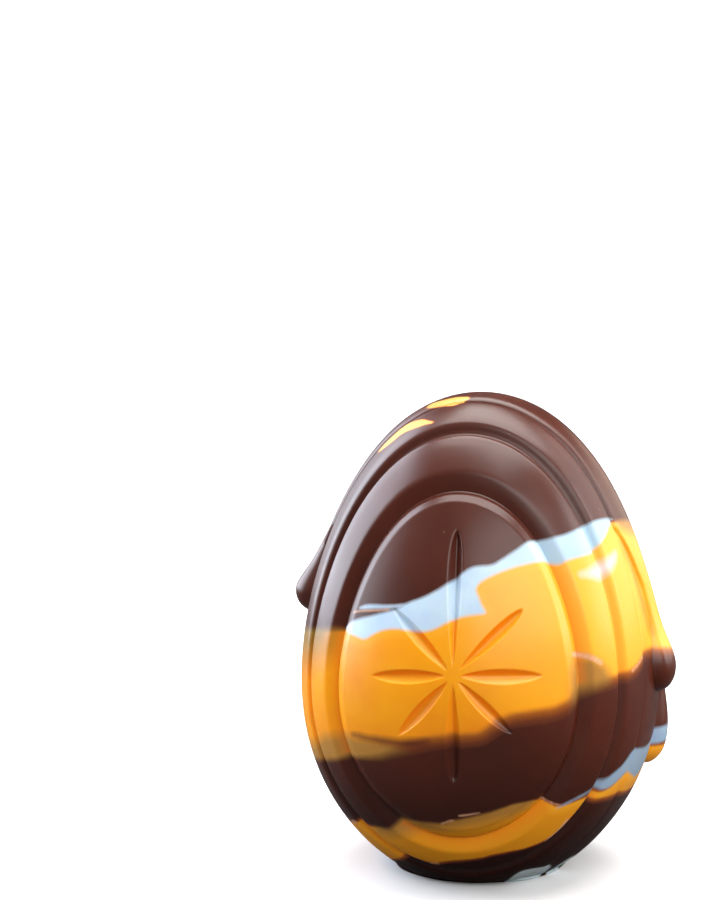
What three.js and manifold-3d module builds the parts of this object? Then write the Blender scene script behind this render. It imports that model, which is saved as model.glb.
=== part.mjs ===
// A moulded chocolate egg that stands upright on a small round foot.
// The front and the back each carry a star medallion inside two raised rings.
// A coat of icing covers the band between the two faces and runs down it in four drips.
// Millimetres. +Z is up, the front faces -Y, and the foot rests on z = 0.
import * as THREE from 'three';
import { mergeVertices } from 'three/addons/utils/BufferGeometryUtils.js';
import Module from 'manifold-3d';

// ---- driving dimensions -------------------------------------------------
const LENGTH = 140.0;          // pole to pole, before the foot cuts the lower end
const BOTTOM_POLE = -7.8;      // height of the lower pole, hidden inside the foot
const HALF_WIDTH = 49.73;      // radius half way between the poles
const TAPER = [0.2834, 0.0358, -0.1978];   // makes the lower end fuller than the upper one

const FOOT_RADIUS = 24.6;      // where the foot wall meets the egg
const FOOT_BASE_RADIUS = 24.0; // at the table
const FOOT_HEIGHT = 1.3;
const FOOT_EDGE = 0.4;         // softening of the lower edge
const FOOT_TRIM = 3.0;         // spare length below the table, trimmed off at the end
const FOOT_SIDES = 48;

const RING_CENTRE = 62.6;      // height of the middle of the medallion
const RING_RISE = 69.5;        // moves the outer rings upwards
const COLUMNS = 58;            // points round each ring
const BAND_LEVEL = -0.6;       // side band, below the reference surface
const ICING_TOP = 0.15;        // top of the icing, above it
const ICING_ROOT = -1.8;       // underside of the icing, buried in the egg
const ICING_STEPS = 30;
const DRIP_ROOT = -3.0;
const DRIP_SIDES = 8;
const DRIP_TOP_THICKNESS = 0.4;

// Relief of one face: angle from the face axis in degrees, height in mm.
const RELIEF = [
  [0, -1.2], [7, -1.17], [14, -1.1], [21, -1.0], [28, -0.9], [34, -0.82],
  [38.0, -0.8],                // medallion face
  [39.6, -1.35],               // its bevelled rim
  [41.8, -2.2], [42.9, -2.55], // recess
  [44.5, -1.7], [46.2, -0.9], [48.4, -0.36], [51.0, -0.06], [54.0, 0.1],    // inner ring
  [56.2, 0], [57.2, -0.8],
  [58.2, -1.75], [59.2, -1.55], // groove between the rings
  [60.3, -0.4], [61.2, 0.06],
  [65.5, 0.2], [70.2, 0.05],   // outer ring
  [71.2, -0.5], [72.2, -0.85],
  [74, BAND_LEVEL], [84, BAND_LEVEL], [90, BAND_LEVEL],
];

// Star rays: far end from the star centre as x and z, half width, depth.
const STAR_CENTRE = new THREE.Vector2(1.3, 64.0);
const STAR_START = 2.4;        // bare space round the star centre
const FACE_LEVEL = -1.2;       // medallion face at its middle
const FACE_RISE = 0.012;       // and how much higher it gets for each mm away from it
const RAY_OVERCUT = 1.2;       // how far a cutter stands proud of the face
const RAY_STATIONS = [0, 0.08, 0.2, 0.35, 0.5, 0.65, 0.8, 0.92, 1];
const RAYS = [
  [-1.0, 36.4, 2.3, 1.7], [0.2, -29.2, 2.2, 1.3],
  [-23.0, -2.2, 1.9, 1.2], [23.0, -0.2, 2.2, 1.2],
  [-17.2, 16.0, 1.7, 1.1], [17.2, 16.8, 1.7, 1.1],
  [-15.0, -17.2, 1.7, 1.1], [15.4, -15.2, 1.7, 1.1],
];

// Icing belt: where it stops on each side, and the angle its ends narrow towards.
const ICING_END_RIGHT = 80.8;
const ICING_END_LEFT = 89.8;
const ICING_FOCUS = 97;
const ICING_NARROWING = [0.72, 0.34, 0.1];   // last three sections, from the end

// Drips. bearing is measured from the front. ballHeight is the height of the ball's middle.
// fade says how fast the tail thins out towards its top.
const DRIPS = [
  { bearing: 89.5, ballHeight: 58.4, ballRadius: 7.1, ballThickness: 5.0,
    top: 92.8, neckHalfWidth: 4.6, neckThickness: 2.3, flare: 7.2, fade: 0.4 },
  { bearing: 107, ballHeight: 34.0, ballRadius: 7.0, ballThickness: 5.4,
    top: 90.8, neckHalfWidth: 3.1, neckThickness: 1.8, flare: 6.5, fade: 0.5 },
  { bearing: -89, ballHeight: 75.6, ballRadius: 6.1, ballThickness: 5.7,
    top: 99.8, neckHalfWidth: 4.2, neckThickness: 4.2, flare: 9.5, fade: 1 },
  { bearing: -105, ballHeight: 52.8, ballRadius: 6.5, ballThickness: 4.3,
    top: 98.8, neckHalfWidth: 3.0, neckThickness: 2.3, flare: 6.5, fade: 0.6 },
];
const BALL_STATIONS = [-0.98, -0.86, -0.55];   // below the middle, in ball radii
const TAIL_STATIONS = [0, 0.08, 0.16, 0.25, 0.36, 0.5, 0.65, 0.82, 1];   // middle to top

// ---- the smooth egg the relief is measured from -------------------------
function eggRadius(z) {
  const t = THREE.MathUtils.clamp((z - BOTTOM_POLE) / (LENGTH / 2) - 1, -1, 1);
  const taper = 1 + TAPER[0] * t + TAPER[1] * t * t + TAPER[2] * t ** 3;
  return HALF_WIDTH * Math.sqrt(Math.max(0, (1 - t * t) / taper));
}

// Outward normal at a point of the smooth egg.
function eggNormal(x, y, z) {
  const step = 0.02;
  const low = Math.max(z - step, BOTTOM_POLE);
  const high = Math.min(z + step, BOTTOM_POLE + LENGTH);
  const squareSlope = (eggRadius(high) ** 2 - eggRadius(low) ** 2) / (high - low);
  return new THREE.Vector3(2 * x, 2 * y, -squareSlope).normalize();
}

function lift(point, height) {
  return point.clone().addScaledVector(eggNormal(point.x, point.y, point.z), height);
}

// Point of one ring: the outline of the egg, scaled down about a centre on the face axis.
function ringPoint(outlineX, outlineZ, angle) {
  const scale = Math.sin(THREE.MathUtils.degToRad(angle));
  const centre = RING_CENTRE + RING_RISE * scale ** 8;
  const x = outlineX * scale;
  const z = outlineZ * scale + centre * (1 - scale);
  const depth = Math.sqrt(Math.max(0, eggRadius(z) ** 2 - x * x));
  return new THREE.Vector3(x, angle > 90 ? depth : -depth, z);
}

function outlineAt(turn) {
  const z = BOTTOM_POLE + (LENGTH / 2) * (1 - Math.cos(turn));
  const side = turn <= Math.PI ? 1 : -1;
  return [side * eggRadius(z), z];
}

// Point of the smooth egg at a height and a bearing from the front.
function bandPoint(z, bearing) {
  const a = THREE.MathUtils.degToRad(bearing);
  const r = eggRadius(z);
  return new THREE.Vector3(r * Math.sin(a), -r * Math.cos(a), z);
}

// ---- mesh helpers -------------------------------------------------------
function geometryFrom(points, triangles) {
  const geometry = new THREE.BufferGeometry();
  const flat = points.flatMap((p) => [p.x, p.y, p.z]);
  geometry.setAttribute('position', new THREE.Float32BufferAttribute(flat, 3));
  geometry.setIndex(triangles);
  return geometry;
}

// Closed body through a row of loops that all have the same number of points.
function loft(loops) {
  const points = loops.flat();
  const n = loops[0].length;
  const triangles = [];
  for (let i = 0; i + 1 < loops.length; i += 1) {
    for (let j = 0; j < n; j += 1) {
      const a = i * n + j;
      const b = i * n + ((j + 1) % n);
      triangles.push(a, b, b + n, a, b + n, a + n);
    }
  }
  const middle = (loop) => loop.reduce((s, p) => s.add(p), new THREE.Vector3())
    .divideScalar(n);
  const first = points.push(middle(loops[0])) - 1;
  const last = points.push(middle(loops[loops.length - 1])) - 1;
  const base = (loops.length - 1) * n;
  for (let j = 0; j < n; j += 1) {
    const k = (j + 1) % n;
    triangles.push(first, k, j, last, base + j, base + k);
  }
  return geometryFrom(points, triangles);
}

// ---- body with its rings ------------------------------------------------
function eggBody() {
  const rows = [...RELIEF, ...RELIEF.slice(0, -1).reverse().map(([a, h]) => [180 - a, h])];
  const points = [];
  rows.forEach(([angle, height], i) => {
    const pole = i === 0 || i === rows.length - 1;
    for (let j = 0; j < (pole ? 1 : COLUMNS); j += 1) {
      const [x, z] = outlineAt((2 * Math.PI * (j + 0.5)) / COLUMNS);
      points.push(lift(ringPoint(x, z, angle), height));
    }
  });
  const triangles = [];
  const start = (i) => 1 + (i - 1) * COLUMNS;
  const lastPoint = points.length - 1;
  for (let j = 0; j < COLUMNS; j += 1) {
    const k = (j + 1) % COLUMNS;
    triangles.push(0, 1 + j, 1 + k);
    triangles.push(lastPoint, start(rows.length - 2) + k, start(rows.length - 2) + j);
    for (let i = 1; i + 2 < rows.length; i += 1) {
      const a = start(i) + j;
      const b = start(i) + k;
      triangles.push(a, b + COLUMNS, b, a, a + COLUMNS, b + COLUMNS);
    }
  }
  return geometryFrom(points, triangles);
}

// Small round foot. Its upper part is buried in the egg.
function foot() {
  const profile = [
    [0, -FOOT_TRIM], [FOOT_BASE_RADIUS - FOOT_EDGE, -FOOT_TRIM], [FOOT_BASE_RADIUS - FOOT_EDGE, 0],
    [FOOT_BASE_RADIUS, FOOT_EDGE], [FOOT_RADIUS, FOOT_HEIGHT], [FOOT_RADIUS / 2, FOOT_HEIGHT * 3],
    [0, FOOT_HEIGHT * 3],
  ].map(([r, z]) => new THREE.Vector2(r, z));
  return new THREE.LatheGeometry(profile, FOOT_SIDES).rotateX(Math.PI / 2);
}

// ---- star ---------------------------------------------------------------
// Cutter for one ray: a pointed boat with a V section that lies in the face.
function rayCutter([dx, dz, halfWidth, depth], faceSide) {
  const along = new THREE.Vector2(dx, dz);
  const reach = along.length();
  along.normalize();
  const across = new THREE.Vector2(-along.y, along.x);
  const loops = RAY_STATIONS.map((t) => {
    const run = STAR_START + t * (reach - STAR_START);
    const fullness = Math.sin(Math.PI * (0.03 + 0.94 * t ** 1.15)) ** 0.8;
    const w = halfWidth * fullness;
    const place = (side, height) => {
      const flat = STAR_CENTRE.clone().addScaledVector(along, run).addScaledVector(across, side);
      const y = Math.sqrt(eggRadius(flat.y) ** 2 - flat.x ** 2);
      const face = new THREE.Vector3(flat.x * faceSide, -y * faceSide, flat.y);
      return lift(face, height + FACE_LEVEL + FACE_RISE * run);
    };
    return [
      place(-w * 2, RAY_OVERCUT), place(-w, 0), place(0, -depth * fullness),
      place(w, 0), place(w * 2, RAY_OVERCUT),
    ];
  });
  return loft(loops);
}

// ---- icing --------------------------------------------------------------
// Belt over the top of the egg, between the outer rings of the two faces.
function icingBelt() {
  const section = [
    [73.3, ICING_ROOT], [73.1, BAND_LEVEL], [73.5, -0.12], [75.0, ICING_TOP], [82, ICING_TOP],
    [90, ICING_TOP], [98, ICING_TOP], [105.0, ICING_TOP], [106.5, -0.12],
    [106.9, BAND_LEVEL], [106.7, ICING_ROOT], [90, ICING_ROOT],
  ];
  const turnAt = (z) => Math.acos(1 - (z - BOTTOM_POLE) / (LENGTH / 2));
  const from = turnAt(ICING_END_RIGHT);
  const to = 2 * Math.PI - turnAt(ICING_END_LEFT);
  const loops = [];
  for (let i = 0; i <= ICING_STEPS; i += 1) {
    const [x, z] = outlineAt(THREE.MathUtils.lerp(from, to, i / ICING_STEPS));
    const edge = Math.min(i, ICING_STEPS - i);
    const narrowing = ICING_NARROWING[edge] ?? 0;
    const thinning = edge === 0 ? ICING_TOP - BAND_LEVEL : 0;
    loops.push(section.map(([angle, height]) => {
      const bent = THREE.MathUtils.lerp(angle, ICING_FOCUS, narrowing);
      return lift(ringPoint(x, z, bent), height > ICING_ROOT ? height - thinning : height);
    }));
  }
  return loft(loops);
}

// Half width and thickness of a drip below its ball's middle, down to -1 radius.
function ballSection(spec, radii) {
  const round = Math.sqrt(1 - radii * radii);
  return [spec.ballRadius * round, spec.ballThickness * round ** 1.2];
}

// The same above the middle, from 0 there to 1 at the top of the tail.
function tailSection(spec, t) {
  const swell = Math.exp(-((t / 0.24) ** 2));
  const flare = THREE.MathUtils.smoothstep(t, 0.5, 1);
  const halfWidth = spec.neckHalfWidth + (spec.ballRadius - spec.neckHalfWidth) * swell
    + (spec.flare - spec.neckHalfWidth) * flare;
  const thickness = spec.neckThickness * (1 - t) ** spec.fade
    + (spec.ballThickness - spec.neckThickness) * swell;
  return [halfWidth, Math.max(thickness, DRIP_TOP_THICKNESS)];
}

// One drip: half round sections that follow the side band.
function drip(spec) {
  const section = (z, [halfWidth, thickness]) => {
    const loop = [];
    for (let k = 0; k <= DRIP_SIDES; k += 1) {
      const a = (Math.PI * k) / DRIP_SIDES;
      const turn = THREE.MathUtils.radToDeg((halfWidth * Math.cos(a)) / eggRadius(z));
      const height = BAND_LEVEL + thickness * Math.sin(a) ** 0.85;
      loop.push(lift(bandPoint(z, spec.bearing + turn), height));
    }
    loop.push(lift(bandPoint(z, spec.bearing), DRIP_ROOT));
    return loop;
  };
  const ball = BALL_STATIONS.map((radii) => {
    return section(spec.ballHeight + radii * spec.ballRadius, ballSection(spec, radii));
  });
  const tail = TAIL_STATIONS.map((t) => {
    return section(THREE.MathUtils.lerp(spec.ballHeight, spec.top, t), tailSection(spec, t));
  });
  return loft([...ball, ...tail]);
}

// ---- join everything into one solid -------------------------------------
const wasm = await Module();
wasm.setup();

function solid(geometry) {
  const bare = geometry.clone();
  bare.deleteAttribute('normal');
  bare.deleteAttribute('uv');
  const welded = mergeVertices(bare, 1e-4);
  const mesh = new wasm.Mesh({
    numProp: 3,
    vertProperties: new Float32Array(welded.getAttribute('position').array),
    triVerts: new Uint32Array(welded.getIndex().array),
  });
  const made = new wasm.Manifold(mesh);
  if (made.volume() > 0) return made;
  const tri = mesh.triVerts;
  for (let i = 0; i < tri.length; i += 3) [tri[i], tri[i + 1]] = [tri[i + 1], tri[i]];
  return new wasm.Manifold(mesh);
}

let egg = solid(eggBody());
for (const faceSide of [1, -1]) {
  for (const ray of RAYS) egg = egg.subtract(solid(rayCutter(ray, faceSide)));
}
egg = egg.add(solid(icingBelt()));
for (const spec of DRIPS) egg = egg.add(solid(drip(spec)));
egg = egg.add(solid(foot())).trimByPlane([0, 0, 1], 0);

function meshGeometry(manifold) {
  const mesh = manifold.getMesh();
  const geometry = new THREE.BufferGeometry();
  geometry.setAttribute('position', new THREE.Float32BufferAttribute(mesh.vertProperties, 3));
  geometry.setIndex(Array.from(mesh.triVerts));
  return geometry;
}

const chocolate = new THREE.MeshStandardMaterial({
  color: 0x4a241b, roughness: 0.42, metalness: 0,
});
const chocolateEgg = new THREE.Mesh(meshGeometry(egg), chocolate);
chocolateEgg.name = 'chocolate_egg';

const group = new THREE.Group();
group.name = 'egg';
group.add(chocolateEgg);
export default group;
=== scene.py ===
# %% [markdown]
# # A marbled chocolate egg
# This egg is cast in a two-part mould, from brown, orange and white chocolate that is poured in one
# after the other. The mould gives it a star in a medallion and two raised rings. A belt of icing runs
# over the top and ends in drips. The plain solid that carries the sizes comes from the frame, and the
# lesson builds the skin that is seen: a finely divided mesh with the relief, and its marbled finish.

# %% Load the frame
import math
import bmesh
import bpy
import numpy as np
from mathutils import Matrix, Vector


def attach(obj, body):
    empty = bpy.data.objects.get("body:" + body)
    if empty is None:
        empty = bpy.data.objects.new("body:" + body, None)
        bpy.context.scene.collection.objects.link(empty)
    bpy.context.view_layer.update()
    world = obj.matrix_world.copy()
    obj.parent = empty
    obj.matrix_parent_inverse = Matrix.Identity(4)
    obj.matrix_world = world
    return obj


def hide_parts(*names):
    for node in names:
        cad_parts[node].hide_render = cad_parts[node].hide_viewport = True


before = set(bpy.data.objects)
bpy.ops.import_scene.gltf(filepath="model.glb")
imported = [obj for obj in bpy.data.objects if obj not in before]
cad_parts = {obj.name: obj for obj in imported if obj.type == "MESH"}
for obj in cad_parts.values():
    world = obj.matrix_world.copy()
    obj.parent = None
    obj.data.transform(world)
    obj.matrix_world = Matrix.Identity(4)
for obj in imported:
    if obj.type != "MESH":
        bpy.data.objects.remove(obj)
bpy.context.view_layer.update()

# %% [markdown]
# ## The smooth egg
# Every later shape is measured from one smooth egg. An egg is an ellipse that is fuller at one end, so
# its radius at a height is the radius of an ellipse, divided by a taper that changes with the height.
# A formula was chosen instead of a drawn outline because the normal of the surface, which the relief
# is raised along, follows from it. Sizes are in millimetres, and the meshes are scaled to metres.

# %% Radius, normal and lift of the smooth egg
MM = 0.001
LENGTH = 140.0            # pole to pole
BOTTOM_POLE = -7.8        # height of the lower pole
HALF_WIDTH = 49.73        # radius half way between the poles
TAPER = (0.2834, 0.0358, -0.1978)
TOP_POLE = BOTTOM_POLE + LENGTH


def egg_radius(z):
    """Radius of the smooth egg at a height."""
    t = np.clip((z - BOTTOM_POLE) / (LENGTH / 2) - 1, -1, 1)
    taper = 1 + TAPER[0] * t + TAPER[1] * t**2 + TAPER[2] * t**3
    return HALF_WIDTH * np.sqrt(np.maximum(0, (1 - t * t) / taper))


def egg_normal(p):
    """Outward normals of the smooth egg at an array of points."""
    step = 0.02
    low = np.maximum(p[..., 2] - step, BOTTOM_POLE)
    high = np.minimum(p[..., 2] + step, TOP_POLE)
    slope = (egg_radius(high) ** 2 - egg_radius(low) ** 2) / (high - low)
    n = np.stack([2 * p[..., 0], 2 * p[..., 1], -slope], axis=-1)
    return n / np.linalg.norm(n, axis=-1, keepdims=True)


def lift(p, height):
    """Points moved off the smooth egg along its normal."""
    return p + egg_normal(p) * np.asarray(height)[..., None]


print("widest radius:", round(float(egg_radius(np.linspace(0, 100, 400)).max()), 2), "mm")

# %% [markdown]
# ## Rings that follow the egg's outline
# The medallion and the rings aren't round. Each is the egg's own outline, made smaller, and the outer
# ones sit a little higher. A grid is laid over the egg to match: its columns run from the middle of the
# front face to the middle of the back face, and each of its rows is such a shrunken outline. Rings
# made this way lie along the rows, so their edges come out clean.

# %% Points on a row of the grid
RING_CENTRE = 62.6        # height of the middle of the medallion
RING_RISE = 69.5          # how much higher that middle lies for the widest outline
RISE_POWER = 8            # a high power leaves the inner rings where they are


def outline_at(turn):
    """The egg's outline from the front: up the right side, then down the left one."""
    z = BOTTOM_POLE + (LENGTH / 2) * (1 - np.cos(turn))
    side = np.where(turn <= math.pi, 1.0, -1.0)
    return side * egg_radius(z), z


def ring_points(turn, angle):
    """Points on the smooth egg: angle is 0 at the front's middle and 180 at the back's."""
    x1, z1 = outline_at(turn)
    scale = np.sin(np.radians(angle))
    centre = RING_CENTRE + RING_RISE * scale**RISE_POWER
    x = x1 * scale
    z = z1 * scale + centre * (1 - scale)
    depth = np.sqrt(np.maximum(0, egg_radius(z) ** 2 - x * x))
    y = np.where(angle > 90, depth, -depth)
    return np.stack(np.broadcast_arrays(x, y, z), axis=-1)


print("right edge half way up:", ring_points(np.array([math.pi / 2]), np.array([90.0])).round(1), "mm")

# %% [markdown]
# ## Relief of one face
# From the middle outwards come the medallion with a bevelled rim, a recess, the inner ring, a groove,
# the outer ring and the plain side band. A list of angles and heights is enough to draw such a section.
# Straight lines between the points would leave hard corners, which a mould never has, so the section
# is blurred a little. The medallion gets a section and a mesh of its own, because the star needs a much
# finer grid than the rings. Its edge dives into the bottom of the recess, where no seam can be seen.

# %% Sections of the rings and of the medallion
BAND_LEVEL = -0.6
POCKET = -3.6             # floor under the medallion, out of sight
# Each point is a ring angle in degrees and a height in millimetres. The rows of the first are the
# recess, its slope, the inner ring, the groove, the outer ring and the side band, and those of the
# second the face, the bevel and the recess.
RING_SECTION = (
    (0, POCKET), (42.0, POCKET), (42.6, -2.9),
    (43.0, -2.6), (43.5, -2.28), (44.1, -1.88), (44.9, -1.36), (45.8, -0.82), (46.5, -0.42),
    (47.0, -0.23), (47.7, -0.14), (49.5, -0.07), (52.0, 0.03), (54.0, 0.1), (55.8, 0.06),
    (56.6, -0.1), (57.3, -1.0), (58.0, -1.75), (58.6, -1.85), (59.3, -1.5), (60.3, -0.4),
    (61.0, 0.02), (62.4, 0.2), (66.0, 0.2), (69.6, 0.1),
    (70.8, -0.02), (71.4, -0.85), (72.1, -0.9), (74, BAND_LEVEL), (95, BAND_LEVEL),
)
MEDALLION_SECTION = (
    (0, -1.2), (14, -1.1), (28, -0.9), (36.4, -0.8), (37.6, -0.78),
    (38.1, -0.86), (39.0, -1.1), (41.1, -1.62),
    (41.8, -1.98), (42.4, -2.36), (42.9, -2.56), (43.3, -2.68), (43.9, POCKET), (46, POCKET),
)
BEVEL_SPAN, BEVEL_FOOT = 2.9, 42.6    # degrees over which the bevel may move, and where that ends
TOP_WIDENING = 2.1        # degrees by which the medallion's face reaches further out at its top
EDGE_BLUR = 0.15          # degrees, about as many millimetres
SECTION_STEP = 0.02       # degrees between the samples that are blurred


def section(points):
    """Height above the smooth egg as a function of the ring angle, alike on both faces."""
    angles = np.arange(-5, 95, SECTION_STEP)
    heights = np.interp(np.abs(angles), *zip(*points))
    reach = np.arange(-3 * EDGE_BLUR, 3 * EDGE_BLUR, SECTION_STEP)
    kernel = np.exp(-0.5 * (reach / EDGE_BLUR) ** 2)
    heights = np.convolve(heights, kernel / kernel.sum(), mode="same")
    return lambda angle: np.interp(np.minimum(angle, 180 - angle), angles, heights)


ring_relief, flat_medallion = section(RING_SECTION), section(MEDALLION_SECTION)


def medallion_relief(turn, angle):
    """Height of the medallion, whose bevel is narrower at the top."""
    top = np.maximum(0, -np.cos(turn)) ** 2
    return flat_medallion(angle - TOP_WIDENING * top * np.clip((BEVEL_FOOT - angle) / BEVEL_SPAN, 0, 1))


print("bottom of the groove:", round(float(ring_relief(np.array([58.7]))[0]), 2), "mm")

# %% [markdown]
# ## The star
# Eight rays are pressed into the medallion, and none reaches its middle. Each is a pointed lens seen
# from the front. Cut across, the upright ones are a V and the others a shallow bowl. They could be cut
# with boolean tools, but a cut leaves thin triangles that spoil the gloss. Here the depth of a ray is a
# formula of the place along it and across it, and the grid is pushed in by that depth. A hyperbola
# serves for both sections, because one number turns it from a V into a bowl.

# %% Depth of the star
STAR_X, STAR_Z = 1.3, 64.0            # the star's middle
STAR_START = 2.2          # bare space round it
# far end from the star's middle as x and z, half width, depth, bluntness of the far end, and roundness
# of the section: near 0 it is a V, and above 1 a shallow bowl
RAYS = (
    (-1.0, 36.4, 1.98, 1.9, 0.5, 0.13), (0.2, -29.2, 2.1, 1.5, 0.55, 0.25),
    (-23.0, -2.2, 1.9, 1.3, 1.0, 1.3), (23.0, -0.2, 2.0, 1.35, 1.0, 0.7),
    (-17.2, 16.0, 1.8, 1.25, 0.9, 1.3), (17.2, 16.8, 1.7, 1.25, 0.65, 0.9),
    (-15.0, -17.2, 1.7, 1.15, 0.9, 1.3), (15.4, -15.2, 1.7, 1.15, 0.85, 0.8),
)
WIDENING, NARROWING = 0.85, 0.8       # powers of the curve that a ray's two ends follow
SHOULDER = 0.09           # softness of a ray's rims
SKIRT = 1.6               # the shoulder fades out from here, in half widths
DEPTH_POWER = 0.8         # below 1, a ray stays deep where it narrows
SKIN_DEPTH = 0.02         # anything shallower than this is no ray
THINNEST = 0.02           # half width of a ray's tips, so that the section is never divided by 0


def ray_fullness(t, blunt):
    """Width of a ray along its run, as a share of its greatest width."""
    rise, fall = WIDENING, NARROWING * blunt
    peak = rise / (rise + fall)
    top = peak**rise * (1 - peak) ** fall
    return t**rise * (1 - t) ** fall / top


def star_depth(x, z):
    """How far the star pushes the face in."""
    depth = np.zeros_like(x)
    for far_x, far_z, half_width, deepest, blunt, rounding in RAYS:
        far = math.hypot(far_x, far_z)
        ux, uz = far_x / far, far_z / far
        run = (x - STAR_X) * ux + (z - STAR_Z) * uz
        across = np.abs((z - STAR_Z) * ux - (x - STAR_X) * uz)
        t = np.clip((run - STAR_START) / (far - STAR_START), 0, 1)
        full = ray_fullness(t, blunt)
        bow = rounding * half_width
        edge = np.maximum(half_width * full, THINNEST)
        wall = 1 - (np.hypot(across, bow) - bow) / (np.hypot(edge, bow) - bow)
        softened = 0.5 * (wall + np.sqrt(wall**2 + SHOULDER**2))
        cut = deepest * full**DEPTH_POWER * softened
        near = 1 - np.clip((across - SKIRT * half_width) / half_width, 0, 1)
        depth = np.maximum(depth, np.where((t > 0) & (t < 1), cut * near, 0))
    return np.maximum(0, depth - SKIN_DEPTH)


print("rays in the star:", len(RAYS))

# %% [markdown]
# ## Where the poured colours lie
# The mould was splashed with orange and white chocolate, turned so that it ran, and then filled with
# brown. The splashes are outlines on the egg: pairs of a bearing in degrees, 0 in front and positive
# to the right, and a height. Painting an image would be the usual way, but a painted image has a
# resolution and a seam. Here each vertex keeps its distance to the nearest outline, and the material
# turns that distance into an edge that is as crisp, or as blurred, as the real one.

# %% Orange pours
# A band runs right round the egg between an upper and a lower edge.
ORANGE_BAND_TOP = (
    (-180, 72.5), (-168, 75.5), (-156, 74.0), (-143, 77.5), (-131, 74.6), (-118, 70.8), (-106, 71.4),
    (-92, 67.8), (-71, 67.1), (-53, 70.3), (-41, 72.4), (-30, 73.5), (-18, 77.5), (-4, 82.5), (5, 86.0),
    (10, 90.2), (23, 93.8), (35, 95.6), (53, 97.2), (66, 99.6), (76, 99.8), (95, 97.7), (108, 94.6),
    (120, 95.3), (133, 89.8), (146, 85.2), (157, 78.6), (168, 76.8),
)
ORANGE_BAND_LOW = (
    (-180, 46.3), (-169, 44.9), (-160, 41.0), (-149, 40.3), (-137, 37.2), (-121, 38.1), (-104, 34.2),
    (-90, 30.2), (-67, 31.4), (-50, 34.4), (-36, 37.8), (-26, 39.2), (-21, 40.6), (-16, 42.6),
    (-8, 45.2), (-3, 46.4), (8, 47.3), (11, 48.0), (14, 50.0), (17, 51.8), (21, 52.9), (33, 53.6),
    (36, 54.5), (40, 56.0), (42, 58.0), (49, 59.8), (62, 60.3), (68, 61.6), (72, 63.9), (79, 64.0),
    (93, 61.8), (106, 58.6), (117, 53.9), (130, 51.7), (143, 52.6), (157, 48.0), (169, 48.7),
)
# A second, lower band, with its own two edges.
LOW_BAND_TOP = (
    (-180, 26.4), (-166, 23.2), (-151, 24.6), (-138, 21.9), (-122, 16.2), (-103, 15.4), (-86, 12.7),
    (-68, 14.3), (-49, 16.1), (-41, 18.3), (-37, 17.3), (-31, 17.9), (-27, 17.6), (-23, 19.0),
    (-20, 20.8), (-17, 21.4), (-4, 21.5), (-2, 21.9), (0, 22.9), (3, 23.2), (9, 24.8), (17, 26.8),
    (22, 28.6), (30, 29.0), (35, 27.4), (39, 27.2), (44, 28.3), (50, 29.4), (58, 30.0), (66, 34.2),
    (76, 33.0), (86, 33.0), (94, 34.3), (107, 33.4), (121, 35.2), (134, 31.0), (150, 28.9), (165, 29.6),
)
LOW_BAND_LOW = (
    (-180, 13.8), (-163, 11.5), (-148, 12.9), (-130, 8.2), (-108, 6.4), (-80, 2.8), (-52, 4.0),
    (-35, 6.2), (-23, 9.3), (-11, 7.7), (-7, 8.9), (0, 9.8), (10, 10.9), (16, 12.4), (26, 13.8),
    (31, 14.8), (36, 16.1), (39, 18.0), (41, 19.8), (44, 22.6), (46, 25.1), (49, 27.1), (60, 26.5),
    (65, 26.5), (76, 24.3), (88, 25.2), (101, 21.6), (114, 23.4), (129, 18.9), (146, 17.8), (163, 14.2),
)
ORANGE_PATCHES = (        # spills at the top, two at the left and one behind
    ((-66, 115.5), (-68, 119.9), (-69, 122.9), (-61, 124.6), (-48, 126.2), (-38, 126.0), (-29, 125.9),
     (-33, 125.3), (-38, 124.9), (-43, 124.0), (-49, 123.1), (-54, 121.7), (-57, 119.0)),
    ((-67, 128.1), (-79, 129.3), (-67, 130.4), (-61, 131.1), (-49, 131.6), (-20, 131.75), (-18, 131.1),
     (-25, 130.8), (-23, 130.2), (-31, 129.5), (-42, 129.5), (-50, 129.1)),
    ((128, 112.2), (141, 109.4), (152, 110.6), (166, 105.1), (159, 103.9), (147, 106.8), (137, 105.2)),
)
print("orange: two bands and", len(ORANGE_PATCHES), "patches")

# %% [markdown]
# White chocolate was splashed in before the orange, so it lies outermost and has crisp edges. The other
# outlines mark places where a pour is unusual: so thin that the brown shows through, dull with fat,
# milky where two colours ran into each other, or only a trail as fine as a thread.

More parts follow.
